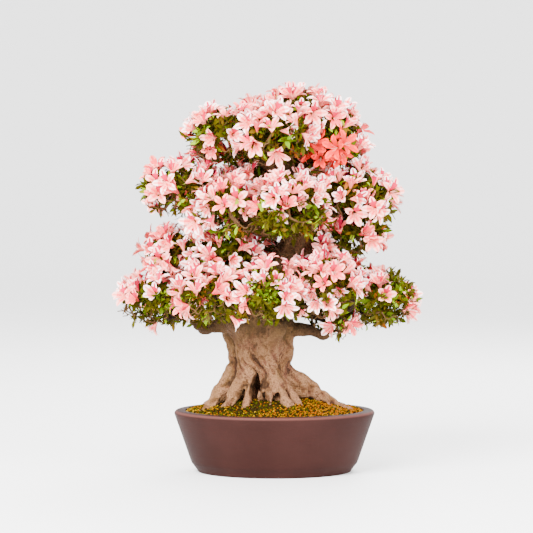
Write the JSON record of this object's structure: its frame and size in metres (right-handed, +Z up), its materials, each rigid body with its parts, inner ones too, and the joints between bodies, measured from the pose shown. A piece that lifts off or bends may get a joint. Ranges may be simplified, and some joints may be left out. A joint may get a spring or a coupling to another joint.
{
  "type": "potted azalea bonsai in bloom",
  "caption": "Azalea bonsai in bloom: stout trunk on spreading roots, boughs carrying tiers of pale pink flowers and small leaves, in an oval pot.",
  "frame": {"origin": "centre of the pot's flat underside, on the ground", "axes": "+X to the right and -Y towards the viewer of the tree's front, +Z up; the trunk leans from -X at its foot to +X at its crown"},
  "size_m": [0.5856, 0.4555, 0.7358],
  "materials": {
    "pot_clay": "unglazed dark reddish-brown clay, satin",
    "soil_granules": "matte golden-yellow granules with green moss",
    "bark": "matte light tan-brown bark with dark pits",
    "foliage": "pale pink blossom over small satin green leaves"
  },
  "bodies": {
    "root": {"bough_low_back": "bark", "bough_low_back_left": "bark", "bough_low_back_right": "bark", "bough_low_far_left": "bark", "bough_low_front": "bark", "bough_low_front_left": "bark", "bough_low_front_right": "bark", "bough_low_hanging": "bark", "bough_low_inner_left": "bark", "bough_low_left_upper": "bark", "bough_low_right": "bark", "bough_middle_back_left": "bark", "bough_middle_back_right": "bark", "bough_middle_front": "bark", "bough_middle_front_left": "bark", "bough_middle_left": "bark", "bough_middle_right": "bark", "bough_middle_right_low": "bark", "bough_top_back": "bark", "bough_top_front": "bark", "bough_top_left": "bark", "bough_top_right": "bark", "mass_crown_top": "foliage", "mass_low_back": "foliage", "mass_low_back_left": "foliage", "mass_low_back_right": "foliage", "mass_low_far_left": "foliage", "mass_low_front": "foliage", "mass_low_front_left": "foliage", "mass_low_front_right": "foliage", "mass_low_hanging": "foliage", "mass_low_inner_left": "foliage", "mass_low_left_upper": "foliage", "mass_low_right": "foliage", "mass_middle_back_left": "foliage", "mass_middle_back_right": "foliage", "mass_middle_front": "foliage", "mass_middle_front_left": "foliage", "mass_middle_left": "foliage", "mass_middle_right": "foliage", "mass_middle_right_low": "foliage", "mass_top_back": "foliage", "mass_top_front": "foliage", "mass_top_left": "foliage", "mass_top_right": "foliage", "pot": "pot_clay", "soil": "soil_granules", "trunk": "bark"}
  },
  "joints": []
}
